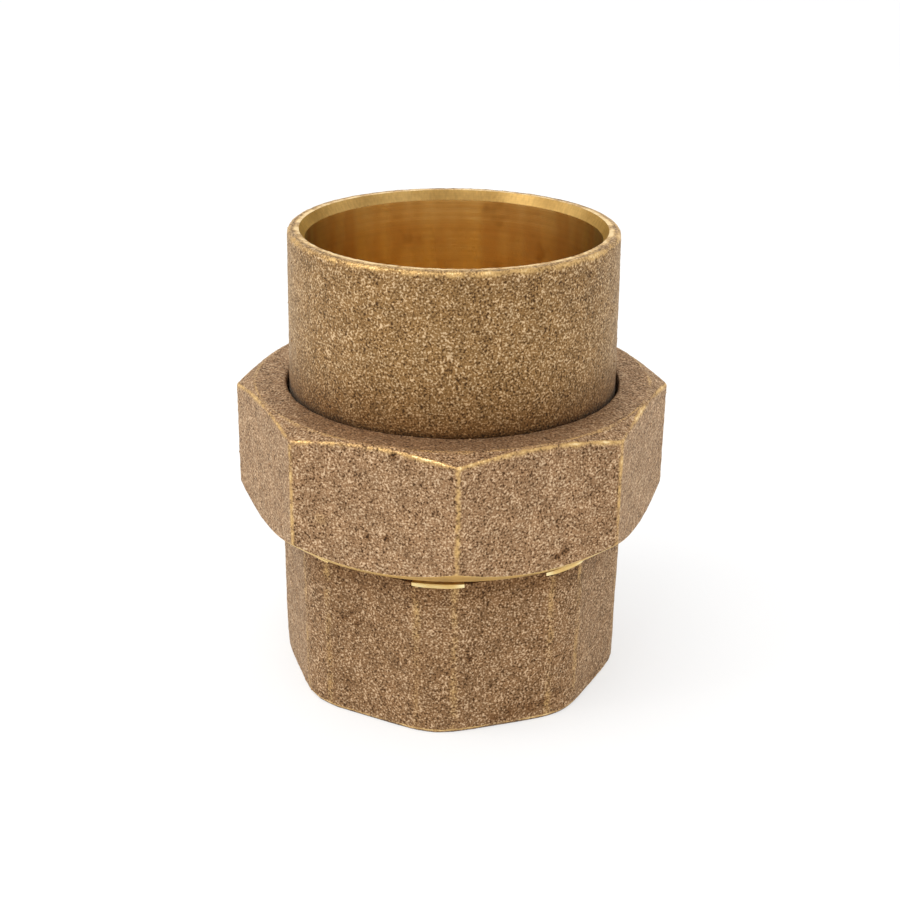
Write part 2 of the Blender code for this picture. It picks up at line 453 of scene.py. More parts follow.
@dataclass
class CastSkin:
    """A casting's mesh: upright outlines side by side around the axis, joined into one closed skin.

    A layer of relief or of rubbing is given by the width of its cells and its strength.
    """

    angles: np.ndarray
    bends: Sequence[Bend]
    column_wear: np.ndarray
    blemishes: Sequence[Blemish]
    seed: int
    wear_reach: float = 0.30 * MM
    round_rows: int = 5
    round_share: float = 0.45
    straightest: float = 0.9999
    spot_end: float = 3.0
    swell: Layer = (11.0 * MM, 0.06 * MM)
    coarse_grit: Layer = (1.7 * MM, 0.025 * MM)
    fine_grit: Layer = (0.80 * MM, 0.055 * MM)
    rubbed_patches: Layer = (2.6 * MM, 0.50)
    rubbed_specks: Layer = (0.75 * MM, 0.40)
    relief_scale: float = 0.10 * MM

    def outline_rows(self) -> tuple[np.ndarray, np.ndarray, np.ndarray, np.ndarray]:
        """Lay out the rows of points along the outline.

        Returns:
            The points (row, column, radius and height), their surfaces, and each row's wear and painted
            shade.
        """
        columns = len(self.angles)
        corners = np.zeros((len(self.bends), columns, 2))
        for place, bend in zip(corners, self.bends):
            place[:, 0] = bend.radius
            place[:, 1] = bend.height
        starts, ends = self.round_ends(corners)
        rows: list[np.ndarray] = []
        surfaces: list[np.ndarray] = []
        worn: list[float] = []
        shade_and_grime: list[float] = []
        for index, bend in enumerate(self.bends):
            earlier = self.bends[index - 1]
            for step in range(self.round_rows + 1):
                t = step / self.round_rows
                entry = (1 - t) * starts[index] + t * corners[index]
                leave = (1 - t) * corners[index] + t * ends[index]
                rows.append((1 - t) * entry + t * leave)
                surfaces.append((bend if t >= 0.5 else earlier).surface_row(columns))
                worn.append(bend.worn * math.sin(math.pi * (step + 1) / (self.round_rows + 2)))
                shade_and_grime.append(bend.shade_and_grime)
            following = (index + 1) % len(self.bends)
            run = starts[following] - ends[index]
            change = self.bends[following].shade_and_grime - bend.shade_and_grime
            for step in range(1, bend.rows):
                rows.append(ends[index] + run * step / bend.rows)
                surfaces.append(bend.surface_row(columns))
                worn.append(0.0)
                shade_and_grime.append(bend.shade_and_grime + change * step / bend.rows)
        return np.array(rows), np.array(surfaces), np.array(worn), np.array(shade_and_grime)

    def round_ends(self, corners: np.ndarray) -> tuple[np.ndarray, np.ndarray]:
        """Find where each corner's round starts and ends.

        Args:
            corners: the corners, by bend and column.

        Returns:
            The rounds' first and last points.
        """
        back = np.roll(corners, 1, axis=0) - corners
        on = np.roll(corners, -1, axis=0) - corners
        back_length = np.linalg.norm(back, axis=2, keepdims=True)
        on_length = np.linalg.norm(on, axis=2, keepdims=True)
        back = back / back_length
        on = on / on_length
        cosine = np.sum(back * on, axis=2, keepdims=True)
        half_angle = np.arccos(np.clip(cosine, -self.straightest, self.straightest)) / 2
        rounding = np.array([bend.rounding for bend in self.bends])[:, None, None]
        longest = self.round_share * np.minimum(back_length, on_length)
        reach = np.minimum(rounding / np.tan(half_angle), longest)
        return corners + back * reach, corners + on * reach

    def build(self, name: str, materials: dict[Surface, Material]) -> Object:
        """Make the skin.

        Args:
            name: the piece's name.
            materials: the material of each surface that the skin has.

        Returns:
            The piece.
        """
        outline, surfaces, worn, shade_and_grime = self.outline_rows()
        radius, height = outline[..., 0], outline[..., 1]
        points = np.stack((radius * np.cos(self.angles), radius * np.sin(self.angles), height), axis=2)
        normals = self.normals(points)
        cast = (surfaces == Surface.CAST) & (np.roll(surfaces, 1, axis=0) == Surface.CAST)
        swell = self.layer(points, 0, self.swell)
        grit = self.layer(points, 1, self.coarse_grit) + self.layer(points, 2, self.fine_grit)
        upright = np.clip(1.0 - 2.0 * np.abs(normals[..., 2]), 0.0, 1.0)
        side_wear = self.column_wear[None, :] * upright * cast
        wear = np.maximum(self.row_wear(outline, worn), side_wear) * self.rubbing(points)
        # Painted shade from the outline's rows, with the blemishes' dirt added to it; the cast material
        # darkens its colour by this number.
        shade_and_dirt = np.repeat(shade_and_grime[:, None], len(self.angles), axis=1)
        for blemish in self.blemishes:
            shape = self.spot(points, blemish)
            grit -= blemish.depth * MM * shape
            shade_and_dirt += blemish.shade_and_grime * shape
            wear += blemish.worn * shape
        mesh = self.grid_mesh(name, points + normals * ((swell + grit) * cast)[..., None])
        order = sorted(materials)
        slots = np.searchsorted(order, surfaces.ravel())
        mesh.polygons.foreach_set("material_index", slots.astype(np.int32))
        for surface in order:
            mesh.materials.append(materials[surface])
        kept = {"worn": wear, "shade_and_grime": shade_and_dirt, "relief": grit * cast / self.relief_scale, "cast": cast * 1.0}
        for label, values in kept.items():
            numbers = mesh.attributes.new(label, "FLOAT", "POINT").data
            numbers.foreach_set("value", values.ravel().astype(np.float32))
        mesh.shade_smooth()
        return add_object(name, mesh)

    def normals(self, points: np.ndarray) -> np.ndarray:
        """Find which way the skin faces.

        Args:
            points: the grid of points.

        Returns:
            The direction at each point.
        """
        around = np.roll(points, -1, axis=1) - np.roll(points, 1, axis=1)
        along = np.roll(points, -1, axis=0) - np.roll(points, 1, axis=0)
        facing = np.cross(around, along)
        return facing / np.maximum(np.linalg.norm(facing, axis=2, keepdims=True), np.finfo(float).tiny)

    def grid_mesh(self, name: str, points: np.ndarray) -> Mesh:
        """Join a closed grid of points with four-sided faces.

        Args:
            name: the mesh's name.
            points: the points, by row and column.

        Returns:
            The mesh.
        """
        index = np.arange(points[..., 0].size).reshape(points.shape[:2])
        beside = np.roll(index, -1, axis=1)
        above = np.roll(index, -1, axis=0)
        corner = np.roll(beside, -1, axis=0)
        faces = np.stack((index, beside, corner, above), axis=2).reshape(-1, 4)
        mesh = bpy.data.meshes.new(name)
        mesh.from_pydata(points.reshape(-1, 3).tolist(), [], faces.tolist())
        return mesh

    def layer(self, points: np.ndarray, number: int, layer: Layer) -> np.ndarray:
        """Read one of the skin's own layers of random relief."""
        return cast_relief(points, self.seed + number, *layer)

    def rubbing(self, points: np.ndarray) -> np.ndarray:
        """Work out how unevenly handling has rubbed the skin."""
        patches = self.layer(points, 3, self.rubbed_patches)
        return 1.0 + patches + self.layer(points, 4, self.rubbed_specks)

    def spot(self, points: np.ndarray, blemish: Blemish) -> np.ndarray:
        """Work out where one blemish shows.

        Args:
            points: the grid of points.
            blemish: the spot.

        Returns:
            Its strength at each point, 0 to 1.
        """
        angle = np.arctan2(points[..., 1], points[..., 0])
        apart = np.abs((angle - math.radians(blemish.azimuth) + math.pi) % TURN - math.pi)
        across = apart * np.hypot(points[..., 0], points[..., 1])
        far = np.hypot(across, points[..., 2] - blemish.height * MM) / (blemish.reach * MM)
        return bell(far) * (far < self.spot_end)

    def row_wear(self, outline: np.ndarray, worn: np.ndarray) -> np.ndarray:
        """Spread the wear of the outline's corners over the rows beside them.

        Args:
            outline: the points by row and column.
            worn: the wear of each row's own corner.

        Returns:
            The wear at each point.
        """
        step = np.linalg.norm(np.roll(outline, -1, axis=0) - outline, axis=2)
        place = np.cumsum(step, axis=0)
        wear = np.zeros(outline.shape[:2])
        for row in np.flatnonzero(worn):
            wear = np.maximum(wear, worn[row] * bell((place - place[row]) / self.wear_reach))
        return wear


class NodeRecipe(NodeSketch):
    """A Geometry Nodes tree with named inputs that makes one plain mesh."""

    def __init__(self, name: str) -> None:
        """Start the tree.

        Args:
            name: the tree's name.
        """
        super().__init__(bpy.data.node_groups.new(name, "GeometryNodeTree"))
        for way in ("INPUT", "OUTPUT"):
            self.tree.interface.new_socket("Geometry", in_out=way, socket_type="NodeSocketGeometry")
        self.start = self.add("NodeGroupInput")
        self.end = self.add("NodeGroupOutput")
        self.values: dict[str, Source] = {}

    def take(self, kind: str, values: dict[str, Source]) -> list[NodeSocket]:
        """Add named inputs of one kind.

        Args:
            kind: Blender's name of the kind of socket.
            values: what each input is set to, by its name.

        Returns:
            The sockets that give the inputs inside the tree.
        """
        for name, value in values.items():
            socket = self.tree.interface.new_socket(name, in_out="INPUT", socket_type=kind)
            self.values[socket.identifier] = value
        return [self.start.outputs[name] for name in values]

    def close(self, geometry: NodeSocket, material: NodeSocket) -> None:
        """End the tree with real and dressed geometry.

        Args:
            geometry: what the tree has made.
            material: the finish that it gets.
        """
        real = self.add("GeometryNodeRealizeInstances", {0: geometry})
        feeds = {"Geometry": real.outputs[0], "Material": material}
        self.feed(self.end, {0: self.add("GeometryNodeSetMaterial", feeds).outputs[0]})

    def make(self, name: str, base: Mesh, sharp: float) -> Object:
        """Run the tree on a mesh and keep the result as a plain piece.

        Args:
            name: the piece's name.
            base: the mesh that the tree starts from.
            sharp: angle above which an edge stays sharp.

        Returns:
            The piece.
        """
        carrier = add_object(f"{name}_carrier", base)
        modifier = carrier.modifiers.new("recipe", "NODES")
        modifier.node_group = self.tree
        for identifier, value in self.values.items():
            modifier[identifier] = value
        shown = carrier.evaluated_get(bpy.context.evaluated_depsgraph_get())
        mesh = bpy.data.meshes.new_from_object(shown)
        carrier.modifiers.remove(modifier)
        bpy.data.objects.remove(carrier)
        mesh.name = name
        skin = bmesh.new()
        skin.from_mesh(mesh)
        bmesh.ops.recalc_face_normals(skin, faces=skin.faces)
        skin.to_mesh(mesh)
        skin.free()
        mesh.shade_smooth()
        mesh.set_sharp_from_angle(angle=sharp)
        return add_object(name, mesh)


@dataclass(frozen=True)
class ScrewThread:
    """A right-handed thread ridge that winds up a cylinder and fades at both ends."""

    root: float
    depth: float
    foot_width: float
    crest_width: float
    pitch: float
    bottom: float
    turns: float
    start: float
    bite: float = 0.15 * MM
    fade: float = 0.6
    thinnest: float = 0.02
    points_per_turn: int = 120
    sharp: float = math.radians(24)

    def build(self, name: str, material: Material) -> Object:
        """Sweep the ridge's section along its helix.

        Args:
            name: the piece's name.
            material: its finish.

        Returns:
            The piece.
        """
        recipe = NodeRecipe(f"{name}_recipe")
        numbers = {
            "Root Radius": self.root,
            "Ridge Depth": self.depth,
            "Sunk Depth": -math.copysign(self.bite, self.depth),
            "Foot Width": self.foot_width,
            "Crest Width": self.crest_width,
            "Pitch": self.pitch,
            "Bottom": self.bottom,
            "Turns": self.turns,
            "Start Angle": self.start,
            "Fade Turns": self.fade,
        }
        root, depth, sunk, foot, crest, pitch, bottom, turns, start, fade = recipe.take(
            "NodeSocketFloat", numbers
        )
        (count,) = recipe.take("NodeSocketInt", {"Points": round(self.turns * self.points_per_turn)})
        (finish,) = recipe.take("NodeSocketMaterial", {"Finish": material})
        line = recipe.add("GeometryNodeCurvePrimitiveLine").outputs[0]
        path = recipe.add("GeometryNodeResampleCurve", {"Curve": line, "Count": count}).outputs[0]
        along = recipe.add("GeometryNodeSplineParameter").outputs["Factor"]
        wound = recipe.maths("MULTIPLY", along, turns)
        angle = recipe.maths("MULTIPLY_ADD", wound, TURN, start)
        x = recipe.maths("MULTIPLY", root, recipe.maths("COSINE", angle))
        y = recipe.maths("MULTIPLY", root, recipe.maths("SINE", angle))
        z = recipe.maths("MULTIPLY_ADD", wound, pitch, bottom)
        place = {"Geometry": path, "Position": recipe.vector(x, y, z)}
        helix = recipe.add("GeometryNodeSetPosition", place).outputs[0]
        upright = recipe.add("GeometryNodeSetCurveNormal", {"Curve": helix}, mode="Z_UP").outputs[0]
        half_foot = recipe.maths("MULTIPLY", foot, 0.5)
        half_crest = recipe.maths("MULTIPLY", crest, 0.5)
        lower = ((sunk, half_foot, -1.0), (depth, half_crest, -1.0))
        upper = ((depth, half_crest, 1.0), (sunk, half_foot, 1.0))
        corners: Feeds = {}
        for number, (out, width, side) in enumerate(lower + upper, start=1):
            corners[f"Point {number}"] = recipe.vector(out, recipe.maths("MULTIPLY", width, side), 0.0)
        section = recipe.add("GeometryNodeCurvePrimitiveQuadrilateral", corners, mode="POINTS").outputs[0]
        from_end = recipe.maths("MINIMUM", wound, recipe.maths("SUBTRACT", turns, wound))
        swell = recipe.maths("MINIMUM", recipe.maths("DIVIDE", from_end, fade), 1.0)
        sweep = {
            "Curve": upright,
            "Profile Curve": section,
            "Scale": recipe.maths("MAXIMUM", swell, self.thinnest),
            "Fill Caps": True,
        }
        recipe.close(recipe.add("GeometryNodeCurveToMesh", sweep).outputs[0], finish)
        return recipe.make(name, bpy.data.meshes.new(f"{name}_start"), self.sharp)


@dataclass(frozen=True)
class SandNubs:
    """Small rounded nubs that the sand mould leaves on a casting's skin."""

    # The Random Value node's sockets for plain numbers.
    RANDOM_LOW = 2
    RANDOM_HIGH = 3
    RANDOM_VALUE = 1

    seed: int
    per_square_metre: float = 26000.0
    smallest: float = 0.10 * MM
    largest: float = 0.30 * MM
    flatness: float = 0.45

    def build(self, name: str, casting: Object, material: Material) -> Object:
        """Scatter the nubs over the cast part of a skin.

        Args:
            name: the piece's name.
            casting: the casting that carries them.
            material: their finish.

        Returns:
            The piece.
        """
        recipe = NodeRecipe(f"{name}_recipe")
        numbers = {
            "Nubs per Area": self.per_square_metre,
            "Smallest": self.smallest,
            "Largest": self.largest,
            "Flatness": self.flatness,
        }
        density, smallest, largest, flatness = recipe.take("NodeSocketFloat", numbers)
        (seed,) = recipe.take("NodeSocketInt", {"Seed": self.seed})
        (finish,) = recipe.take("NodeSocketMaterial", {"Finish": material})
        cast = recipe.add("GeometryNodeInputNamedAttribute", {"Name": "cast"}, data_type="FLOAT")
        feeds = {
            "Mesh": recipe.start.outputs["Geometry"],
            "Density": recipe.maths("MULTIPLY", density, cast.outputs["Attribute"]),
            "Seed": seed,
        }
        scatter = recipe.add("GeometryNodeDistributePointsOnFaces", feeds, distribute_method="RANDOM")
        ball = recipe.add("GeometryNodeMeshIcoSphere", {"Radius": 1.0, "Subdivisions": 1})
        feeds = {self.RANDOM_LOW: smallest, self.RANDOM_HIGH: largest, "Seed": seed}
        size = recipe.add("FunctionNodeRandomValue", feeds, data_type="FLOAT")
        width = size.outputs[self.RANDOM_VALUE]
        feeds = {
            "Points": scatter.outputs["Points"],
            "Instance": ball.outputs["Mesh"],
            "Rotation": scatter.outputs["Rotation"],
            "Scale": recipe.vector(width, width, recipe.maths("MULTIPLY", width, flatness)),
        }
        recipe.close(recipe.add("GeometryNodeInstanceOnPoints", feeds).outputs["Instances"], finish)
        return recipe.make(name, casting.data, math.pi)


def make_casting(
    node: str, skin: CastSkin, finishes: dict[Surface, Finish], ridge: Optional[ScrewThread] = None
) -> list[Object]:
    """Make a casting with its nubs and its thread.

    Args:
        node: name of the frame's node that the casting stands for.
        skin: the casting's skin.
        finishes: the finish of each of its surfaces.
        ridge: its thread, where it has one.

    Returns:
        The casting, its nubs and, where it has one, its thread.
    """
    materials = {surface: finish.material() for surface, finish in finishes.items()}
    casting = skin.build(f"{node}_casting", materials)
    nubs = SandNubs(skin.seed + 1).build(f"{node}_nubs", casting, materials[Surface.CAST])
    pieces = [casting, nubs]
    if ridge is not None:
        pieces.append(ridge.build(f"{node}_thread", materials[Surface.TURNED]))
    return pieces


def octagon_columns(centre: float, edge: float, edge_columns: int, flat_columns: int) -> np.ndarray:
    """Set the angles of the columns around an octagon.

    Args:
        centre: angle of the first corner.
        edge: half the angle that a corner spans.
        edge_columns: columns over a corner.
        flat_columns: columns over a flat.

    Returns:
        The angles, in rising order.
    """
    corner = -edge + 2 * edge * np.arange(edge_columns) / edge_columns
    flat = edge + (SECTOR - 2 * edge) * np.arange(flat_columns) / flat_columns
    sector = np.concatenate((corner, flat))
    return np.concatenate([centre + side * SECTOR + sector for side in range(SIDES)])


def from_corner(angles: np.ndarray, centre: float) -> np.ndarray:
    """Measure the unsigned angle to the nearest corner of an octagon with one corner at the centre."""
    return np.abs((angles - centre + HALF_SECTOR) % SECTOR - HALF_SECTOR)


@dataclass(frozen=True)
class UnionSizes:
    """Sizes that the castings share: heights read from the frame, and the bores that take the tube."""

    rim: float
    end_top: float
    nut_foot: float
    nut_top: float
    collar_radius: float
    cup_bore: float = 27.05 * MM
    waterway: float = 25.60 * MM
    cup_depth: float = 34.04 * MM
    mouth_depth: float = 1.80 * MM
    mouth_width: float = 1.00 * MM
    mouth_edge: float = 0.12 * MM
    seat_mouth: float = 30.568 * MM
    seat_bottom: float = 41.64 * MM
    pitch: float = 2.309 * MM
    thread_depth: float = 1.25 * MM
    thread_root: float = 32.768 * MM
    crest_share: float = 0.125
    gap: float = 0.30 * MM
    flank: float = math.radians(30)

    @classmethod
    def from_frame(cls) -> "UnionSizes":
        """Read the heights from the frame.

        Returns:
            The sizes.
        """
        _, tailpiece_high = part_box("cup_tailpiece")
        _, end_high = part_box("threaded_end")
        nut_low, nut_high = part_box("union_nut")
        return cls(tailpiece_high.z, end_high.z, nut_low.z, nut_high.z, tailpiece_high.x)

    @property
    def nut_thread_root(self) -> float:
        """Radius at the root of the nut's thread."""
        return self.thread_root + self.thread_depth + self.gap

    @property
    def crest(self) -> float:
        """Width of the flat on top of a thread."""
        return self.pitch * self.crest_share

    @property
    def flank_run(self) -> float:
        """How much wider a thread is at its foot than at its crest."""
        return 2 * self.thread_depth * math.tan(self.flank)


@dataclass
class CupTailpiece:
    """The upper casting: solder cup, collar and ball face."""

    sizes: UnionSizes
    seed: int = 11
    columns: int = 480
    rim_radius: float = 30.20 * MM
    root_radius: float = 30.598 * MM
    collar_height: float = 5.10 * MM
    collar_lift: float = 1.20 * MM
    collar_edge: float = 0.40 * MM
    rim_round: float = 1.20 * MM
    rim_wear: float = 0.62
    mouth_wear: float = 0.95
    ball_steps: int = 4
    # Painted shade on the cup wall runs from just below to well above the nut's top.
    shade_start: float = 0.8 * MM
    shade_end: float = 11.0 * MM
    hidden_round: float = 0.05 * MM
    wear_reach: float = 0.40 * MM
    blemishes: tuple[Blemish, ...] = (Blemish(-39.3, 83.8, 0.40, 0.20, shade_and_grime=2.5),)
    cast: CastBronze = CastBronze("cast_bronze_cup", grain=(0.74, 0.53, 0.31), dust=0.15)
    turned: TurnedBronze = TurnedBronze("turned_bronze_cup")
    mouth: TurnedBronze = shaded_mouth("turned_mouth_cup")

    def wall_radius(self, height: float) -> float:
        """Measure the drafted cup wall at a height."""
        share = (self.sizes.rim - height) / self.sizes.cup_depth
        return self.rim_radius + (self.root_radius - self.rim_radius) * share

    def bends(self) -> list[Bend]:
        """Set out the upright outline, from the ball face round to the waterway.

        Returns:
            The outline's corners.
        """
        size = self.sizes
        collar_bottom = size.end_top + self.collar_lift
        collar_top = collar_bottom + self.collar_height
        contact = (size.waterway + size.seat_mouth) / 2
        ball_centre = size.end_top - (size.seat_mouth - contact) + contact
        ball = contact * math.sqrt(2.0) - size.gap
        lowest = -math.acos(size.waterway / ball)
        highest = -math.asin((ball_centre - collar_bottom) / ball)
        # Painted shade on the cup wall: darkest inside the nut and at its top, thinning to nothing towards
        # the rim.
        hidden = size.nut_top - self.shade_start
        lightly_shaded = size.nut_top + self.shade_start
        unshaded = size.nut_top + self.shade_end
        bends = []
        for step in range(self.ball_steps + 1):
            angle = lowest + (highest - lowest) * step / self.ball_steps
            place = (ball * math.cos(angle), ball_centre + ball * math.sin(angle))
            bends.append(Bend(*place, BROKEN, 2, Surface.TURNED))
        bends += [
            Bend(size.collar_radius, collar_bottom, self.collar_edge, 6, Surface.TURNED),
            Bend(size.collar_radius, collar_top, self.collar_edge, 3, Surface.TURNED),
            Bend(self.root_radius, collar_top, EASED, 14, Surface.CAST, shade_and_grime=3.0),
            Bend(self.wall_radius(hidden), hidden, self.hidden_round, 3, Surface.CAST, shade_and_grime=3.0),
            Bend(self.wall_radius(lightly_shaded), lightly_shaded, CRISP, 20, Surface.CAST, shade_and_grime=1.0),
            Bend(self.wall_radius(unshaded), unshaded, CRISP, 40, Surface.CAST),
            Bend(self.rim_radius, size.rim, self.rim_round, 2, Surface.CAST, self.rim_wear),
            Bend(size.cup_bore + size.mouth_width, size.rim, CRISP, 4, Surface.MOUTH, self.mouth_wear),
            Bend(size.cup_bore, size.rim - size.mouth_depth, size.mouth_edge, 8, Surface.TURNED),
            Bend(size.cup_bore, collar_top, BROKEN, 3, Surface.TURNED),
            Bend(size.waterway, collar_top, BROKEN, 6, Surface.TURNED),
        ]
        return bends

    def build(self) -> list[Object]:
        """Make and dress the casting and its nubs.

        Returns:
            The pieces.
        """
        angles = np.arange(self.columns) * TURN / self.columns
        unworn = np.zeros(self.columns)
        skin = CastSkin(angles, self.bends(), unworn, self.blemishes, self.seed, self.wear_reach)
        finishes = {Surface.CAST: self.cast, Surface.TURNED: self.turned, Surface.MOUTH: self.mouth}
        piece, nubs = make_casting("cup_tailpiece", skin, finishes)
        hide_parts("cup_tailpiece")
        for made in (piece, nubs):
            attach(made, "tailpiece")
        return [piece, nubs]


@dataclass
class UnionNut:
    """The octagonal nut: chamfered casting, lip, collar chamber and internal thread."""

    sizes: UnionSizes
    seed: int = 21
    corner_columns: int = 6
    flat_columns: int = 56
    turned_by: float = math.radians(-88.4)
    apothem: float = 37.598 * MM
    corner_radius: float = 1.60 * MM
    top_radius: float = 36.798 * MM
    top_chamfer: float = math.radians(22.8)
    top_round: float = 0.70 * MM
    top_wear: float = 0.68
    foot_radius: float = 36.298 * MM
    foot_chamfer: float = math.radians(38.5)
    foot_round: float = 0.15 * MM
    foot_wear: float = 0.45
    hole: float = 31.118 * MM
    hole_round: float = 0.60 * MM
    hole_wear: float = 0.15
    lip: float = 4.90 * MM
    ring_edge: float = 0.90 * MM
    ring_round: float = 0.50 * MM
    ring_wear: float = 0.45
    edge_wear: float = 0.60
    edge_reach: float = 0.65 * MM
    blemishes: tuple[Blemish, ...] = (
        Blemish(-105.0, 57.1, 0.50, 0.20, shade_and_grime=3.0),
        Blemish(-108.2, 42.2, 0.60, -0.15, worn=0.2),
        Blemish(-107.0, 41.4, 0.50, 0.15, shade_and_grime=2.0),
        Blemish(-112.2, 41.1, 0.55, 0.15, shade_and_grime=1.2),
        Blemish(-125.7, 42.8, 1.90, worn=0.38),
        Blemish(-60.5, 36.7, 0.60, 0.15, shade_and_grime=1.8),
        Blemish(-58.2, 37.4, 0.60, 0.15, shade_and_grime=1.8),
        Blemish(-26.7, 60.0, 0.55, 0.20, shade_and_grime=2.0),
    )
    cast: CastBronze = CastBronze("cast_bronze_nut", skin=(0.345, 0.198, 0.098))
    turned: TurnedBronze = TurnedBronze("turned_bronze_nut")
    fresh: TurnedBronze = fresh_cut("fresh_foot_nut")

    @property
    def fillet(self) -> float:
        """Distance from the axis to the middle of a corner's round."""
        return (self.apothem - self.corner_radius) / math.cos(HALF_SECTOR)

    def corner_edge(self) -> float:
        """Work out half the angle that a rounded corner spans."""
        across = self.corner_radius * math.sin(HALF_SECTOR)
        return math.atan2(across, self.fillet + self.corner_radius * math.cos(HALF_SECTOR))

    def side_radius(self, angles: np.ndarray) -> np.ndarray:
        """Measure the octagon, with its corners rounded.

        Args:
            angles: the columns' angles.

        Returns:
            The distance from the axis at each angle.
        """
        apart = from_corner(angles, self.turned_by)
        reach = np.sqrt(np.maximum(self.corner_radius**2 - (self.fillet * np.sin(apart)) ** 2, 0.0))
        corner = self.fillet * np.cos(apart) + reach
        return np.where(apart < self.corner_edge(), corner, self.apothem / np.cos(HALF_SECTOR - apart))

    def bends(self, side: np.ndarray) -> list[Bend]:
        """Set out the upright outline, from the foot up the side and down through the hole.

        Args:
            side: the distance of the octagon from the axis in each column.

        Returns:
            The outline's corners.
        """
        size = self.sizes
        low = size.nut_foot + (side - self.foot_radius) * math.tan(self.foot_chamfer)
        high = size.nut_top - (side - self.top_radius) * math.tan(self.top_chamfer)
        lip = size.nut_top - self.lip
        ring = self.top_radius - self.ring_edge
        root = size.nut_thread_root
        return [
            Bend(self.foot_radius, size.nut_foot, self.foot_round, 4, Surface.FRESH),
            Bend(side, low, EASED, 48, Surface.CAST, self.foot_wear),
            Bend(side, high, self.top_round, 6, Surface.CAST, self.top_wear),
            Bend(self.top_radius, size.nut_top, self.ring_round, 2, Surface.CAST, self.ring_wear),
            # Painted shade: the ring's inner edge, the hole and the lip are darkened for the gap between
            # the nut and the cup.
            Bend(ring, size.nut_top, CRISP, 12, Surface.CAST, shade_and_grime=0.2),
            Bend(self.hole, size.nut_top, self.hole_round, 8, Surface.CAST, self.hole_wear, shade_and_grime=0.5),
            Bend(self.hole, lip, BROKEN, 4, Surface.TURNED, shade_and_grime=3.0),
            Bend(root, lip, BROKEN, 8, Surface.TURNED),
            Bend(root, size.nut_foot, BROKEN, 3, Surface.TURNED),
        ]

    def build(self) -> list[Object]:
        """Make and dress the nut, its nubs and its thread.

        Returns:
            The pieces.
        """
        edge = self.corner_edge()
        angles = octagon_columns(self.turned_by, edge, self.corner_columns, self.flat_columns)
        side = self.side_radius(angles)
        wear = self.edge_wear * bell(from_corner(angles, self.turned_by) * side / self.edge_reach)
        skin = CastSkin(angles, self.bends(side), wear, self.blemishes, self.seed)
        finishes = {Surface.CAST: self.cast, Surface.TURNED: self.turned, Surface.FRESH: self.fresh}
        piece, nubs, thread = make_casting("union_nut", skin, finishes, self.thread())
        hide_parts("union_nut")
        for made in (piece, nubs, thread):
            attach(made, "nut")
        return [piece, nubs, thread]

    def thread(self) -> ScrewThread:
        """Set out the internal thread, half a pitch out of step with the external one.

        Returns:
            The thread.
        """
        size = self.sizes
        foot = size.pitch - size.crest - 2 * size.gap * (1 - math.tan(size.flank))
        crest = foot - size.flank_run
        bottom = size.nut_foot + size.pitch / 2
        turns = (size.end_top - bottom) / size.pitch
        phase = TURN * ((bottom - size.end_top) / size.pitch - 0.5)
        return ScrewThread(
            size.nut_thread_root, -size.thread_depth, foot, crest, size.pitch, bottom, turns, phase
        )


